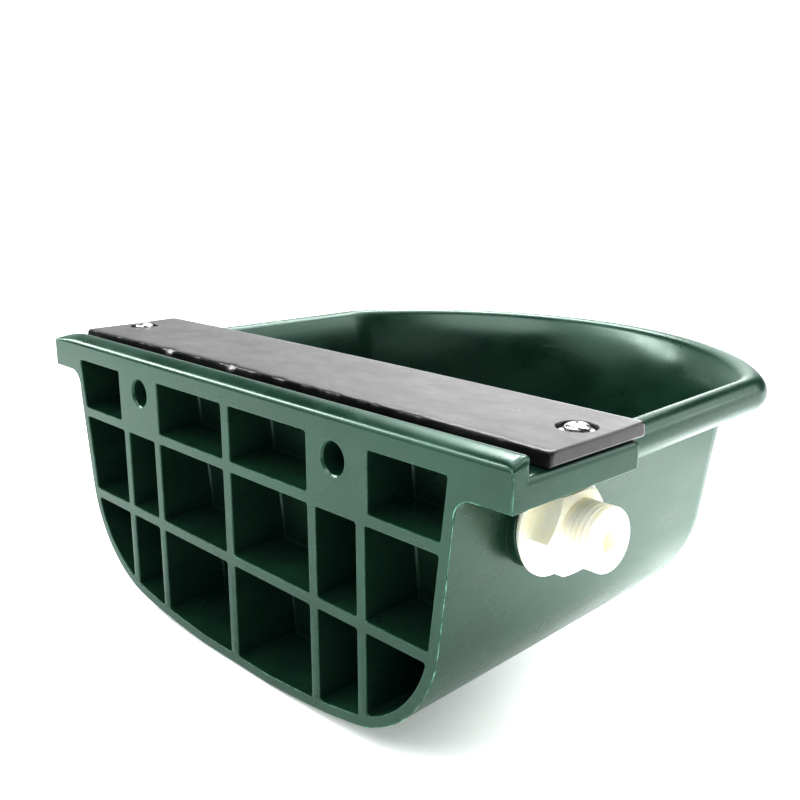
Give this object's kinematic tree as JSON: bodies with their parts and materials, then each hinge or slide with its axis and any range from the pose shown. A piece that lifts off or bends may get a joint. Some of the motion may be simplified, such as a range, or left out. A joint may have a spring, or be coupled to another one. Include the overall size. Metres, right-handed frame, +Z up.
{
  "type": "livestock water trough",
  "caption": "Wall-hung moulded water bowl for livestock, with a ribbed rear frame, rolled rim, screwed cover plate and a float valve fed through the side wall.",
  "frame": {"origin": "middle of the flat rear face, on the centre rib, level with the two wall-bolt holes", "axes": "+Y out of the rear face towards the wall, the bowl reaches towards -Y; +Z up; +X to the right seen from the front"},
  "size_m": [0.3181, 0.2755, 0.1308],
  "materials": {
    "green_plastic": "satin moulded plastic with light scuffs and flash lines",
    "black_plastic": "satin black plastic, scuffed, with rough cut edges",
    "white_plastic": "creamy white moulded nylon",
    "rubber": "matt black rubber",
    "bright_steel": "bright stainless steel",
    "float_plastic": "milky white blown plastic"
  },
  "bodies": {
    "bowl_body": {"bowl": "green_plastic", "cover_plate": "black_plastic", "cover_screw_left": "bright_steel", "cover_screw_right": "bright_steel", "cover_washer_left": "bright_steel", "cover_washer_right": "bright_steel", "cover_nut_left": "bright_steel", "cover_nut_right": "bright_steel", "valve_body": "white_plastic", "outer_gasket": "white_plastic", "outer_washer": "white_plastic", "lock_nut": "white_plastic", "inner_seal_washer": "rubber", "nozzle_seat": "bright_steel", "barrel_cap": "white_plastic", "pivot_pin": "bright_steel", "pivot_clip": "bright_steel"},
    "plunger_body": {"plunger": "white_plastic", "plunger_seal": "rubber", "seal_retainer": "white_plastic"},
    "float_arm": {"lever": "white_plastic", "float_rod": "bright_steel", "rod_lock_nut": "bright_steel", "float_end_nut": "bright_steel", "float_inner_half": "float_plastic", "float_outer_half": "float_plastic"}
  },
  "joints": [
    {"name": "float_arm_pivot", "type": "hinge", "parent": "bowl_body", "child": "float_arm", "pos_m": [-0.095, -0.0495, -0.038], "axis": [0, -1, 0], "range_deg": [0, 16]},
    {"name": "plunger_slide", "type": "slide", "parent": "bowl_body", "child": "plunger_body", "axis": [-1, 0, 0], "range_m": [0, 0.0051]}
  ],
  "couplings": [
    {"joint": "plunger_slide", "follows": "float_arm_pivot", "m_per_rad": 0.018}
  ]
}
